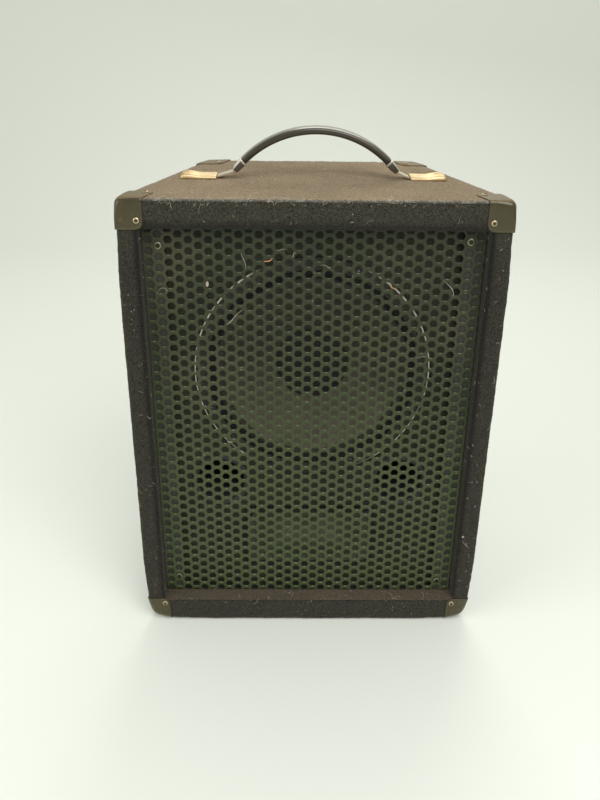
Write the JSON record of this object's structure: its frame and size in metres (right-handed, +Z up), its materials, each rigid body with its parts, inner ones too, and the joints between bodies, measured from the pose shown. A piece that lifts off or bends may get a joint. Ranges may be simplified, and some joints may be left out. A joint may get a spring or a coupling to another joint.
{
  "type": "guitar speaker cabinet",
  "caption": "Carpet-covered speaker cabinet that tapers to the back, with a recessed perforated grille over a woofer, ports and a horn, corner protectors and a bowed strap handle.",
  "frame": {"origin": "on the floor, under the middle of the cabinet's bounding box", "axes": "+X to the right of someone who looks at the grille, the grille faces -Y, +Z up"},
  "size_m": [0.4022, 0.224, 0.5819],
  "materials": {
    "plywood": "bare",
    "carpet": "felted",
    "grille_paint": "satin",
    "protector": "gloss",
    "grip": "satin",
    "handle_metal": "satin",
    "basket_paint": "satin",
    "gasket": "matt",
    "cone_paper": "matt",
    "flex_cloth": "matt",
    "copper_wire": "bare",
    "motor_steel": "plated",
    "ferrite": "matt",
    "moulded_plastic": "matt",
    "jack_plastic": "satin",
    "lead_sheath": "satin"
  },
  "bodies": {
    "cabinet": {"back_batten_bottom": "plywood", "back_batten_top": "plywood", "back_panel": "plywood", "baffle": "plywood", "baffle_batten_bottom": "plywood", "baffle_batten_left": "plywood", "baffle_batten_right": "plywood", "baffle_batten_top": "plywood", "bottom_panel": "plywood", "carpet_back": "carpet", "carpet_wrap": "carpet", "corner_protector_front_bottom_left": "protector", "corner_protector_front_bottom_right": "protector", "corner_protector_front_top_left": "protector", "corner_protector_front_top_right": "protector", "corner_protector_rear_bottom_left": "protector", "corner_protector_rear_bottom_right": "protector", "corner_protector_rear_top_left": "protector", "corner_protector_rear_top_right": "protector", "crossover_board": "moulded_plastic", "crossover_coil": "copper_wire", "grille": "grille_paint", "grille_cleat_left": "plywood", "grille_cleat_right": "plywood", "handle_ferrule_left": "handle_metal", "handle_ferrule_right": "handle_metal", "handle_grip": "grip", "handle_plate_left": "handle_metal", "handle_plate_right": "handle_metal", "handle_strap": "handle_metal", "horn_driver": "basket_paint", "horn_flare": "moulded_plastic", "horn_lead": "lead_sheath", "jack_dish": "moulded_plastic", "jack_socket_input": "jack_plastic", "jack_socket_link": "jack_plastic", "left_side_panel": "plywood", "port_tube_left": "moulded_plastic", "port_tube_right": "moulded_plastic", "right_side_panel": "plywood", "top_panel": "plywood", "woofer_basket": "basket_paint", "woofer_gasket": "gasket", "woofer_lead": "lead_sheath", "woofer_magnet": "ferrite", "woofer_spider": "flex_cloth", "woofer_surround": "flex_cloth", "woofer_terminal": "moulded_plastic", "woofer_top_plate": "motor_steel", "woofer_yoke": "motor_steel"},
    "cone_assembly": {"woofer_cone": "cone_paper", "woofer_dust_cap": "cone_paper", "voice_coil": "copper_wire"}
  },
  "joints": [
    {"name": "cone_travel", "type": "slide", "parent": "cabinet", "child": "cone_assembly", "axis": [0, -1, 0], "range_m": [-0.0045, 0.0045], "stiffness_N_per_m": 2500, "deforming": ["woofer_surround", "woofer_spider"]}
  ]
}
